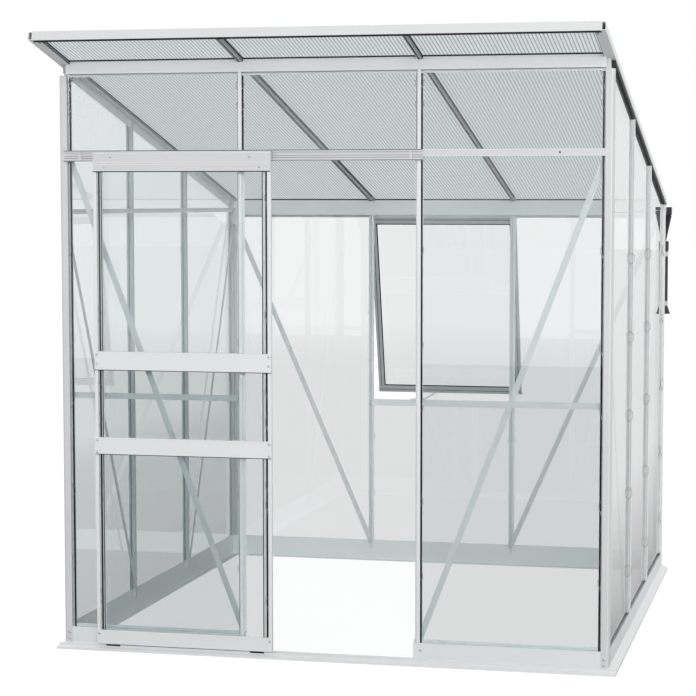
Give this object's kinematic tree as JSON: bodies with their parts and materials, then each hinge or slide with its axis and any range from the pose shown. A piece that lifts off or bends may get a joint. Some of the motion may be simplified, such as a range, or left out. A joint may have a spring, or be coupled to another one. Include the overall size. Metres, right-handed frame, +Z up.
{
  "type": "lean to greenhouse",
  "caption": "Single-pitch aluminium greenhouse with glass walls, twin-wall roof sheets, a sliding front door, a top-hung back vent and a short downpipe.",
  "frame": {"origin": "on the ground under the middle of the overall box", "axes": "+X to the right along the front wall, +Y from the front wall to the back wall, +Z up"},
  "size_m": [2.357, 2.9896, 2.5581],
  "materials": {
    "aluminium": "mill, satin",
    "glass": "clear",
    "polycarbonate": "clear twin-wall",
    "black_rubber": "matt",
    "black_plastic": "satin",
    "white_nylon": "satin",
    "zinc_steel": "zinc plated"
  },
  "bodies": {
    "frame": {"back_bars": "aluminium", "back_eave_rail": "aluminium", "base_back": "aluminium", "base_front_left": "aluminium", "base_front_right": "aluminium", "base_left": "aluminium", "base_right": "aluminium", "braces": "aluminium", "corner_covers_back": "aluminium", "corner_covers_front": "aluminium", "corner_post_back_left": "aluminium", "corner_post_back_right": "aluminium", "corner_post_front_left": "aluminium", "corner_post_front_right": "aluminium", "door_jamb_left": "aluminium", "door_jamb_right": "aluminium", "door_stops": "aluminium", "door_threshold": "aluminium", "door_track": "aluminium", "downpipe": "black_plastic", "downpipe_clips": "zinc_steel", "front_cross_bars": "aluminium", "front_glass": "glass", "front_top_plate": "aluminium", "glass_back": "glass", "glass_left": "glass", "glass_right": "glass", "glazing_seals": "black_rubber", "gussets": "zinc_steel", "gutter": "aluminium", "gutter_outlet": "black_plastic", "rafters": "aluminium", "roof_edge_bar_left": "aluminium", "roof_edge_bar_right": "aluminium", "roof_fascia": "aluminium", "roof_sheet_left": "polycarbonate", "roof_sheet_middle": "polycarbonate", "roof_sheet_right": "polycarbonate", "side_bars_left": "aluminium", "side_bars_right": "aluminium", "side_eave_rail_left": "aluminium", "side_eave_rail_right": "aluminium", "side_top_rail_left": "aluminium", "side_top_rail_right": "aluminium", "vent_hinge_rail": "aluminium", "vent_sill_rail": "aluminium"},
    "door": {"door_top_rail": "aluminium", "door_cross_rails": "aluminium", "door_stiles": "aluminium", "door_glass": "glass", "door_seals": "black_rubber", "door_wheel_pins": "zinc_steel", "door_guides": "black_plastic"},
    "left_wheel": {"door_wheel_left": "white_nylon"},
    "right_wheel": {"door_wheel_right": "white_nylon"},
    "vent": {"vent_frame": "aluminium", "vent_glass": "glass", "vent_seals": "black_rubber", "vent_stay_bracket": "zinc_steel"},
    "stay": {"vent_stay": "zinc_steel"}
  },
  "joints": [
    {"name": "door_slide", "type": "slide", "parent": "frame", "child": "door", "axis": [1, 0, 0], "range_m": [-0.105, 0.616]},
    {"name": "left_wheel_roll", "type": "hinge", "parent": "door", "child": "left_wheel", "pos_m": [-0.9365, -1.17243, 2.0623], "axis": [0, 1, 0], "range_deg": [-505, 2945]},
    {"name": "right_wheel_roll", "type": "hinge", "parent": "door", "child": "right_wheel", "pos_m": [-0.2945, -1.17243, 2.0623], "axis": [0, 1, 0], "range_deg": [-505, 2945]},
    {"name": "vent_hinge", "type": "hinge", "parent": "frame", "child": "vent", "pos_m": [0, 1.26157, 1.81205], "axis": [1, 0, 0], "range_deg": [-13.4, 16.6]},
    {"name": "stay_turn", "type": "hinge", "parent": "vent", "child": "stay", "pos_m": [-0.0485, 1.46957, 0.88291], "axis": [1, 0, 0], "range_deg": [-10, 8]}
  ],
  "couplings": [
    {"joint": "left_wheel_roll", "follows": "door_slide", "rad_per_m": 83.333},
    {"joint": "right_wheel_roll", "follows": "door_slide", "rad_per_m": 83.333},
    {"joint": "stay_turn", "follows": "vent_hinge", "ratio": -0.572}
  ]
}
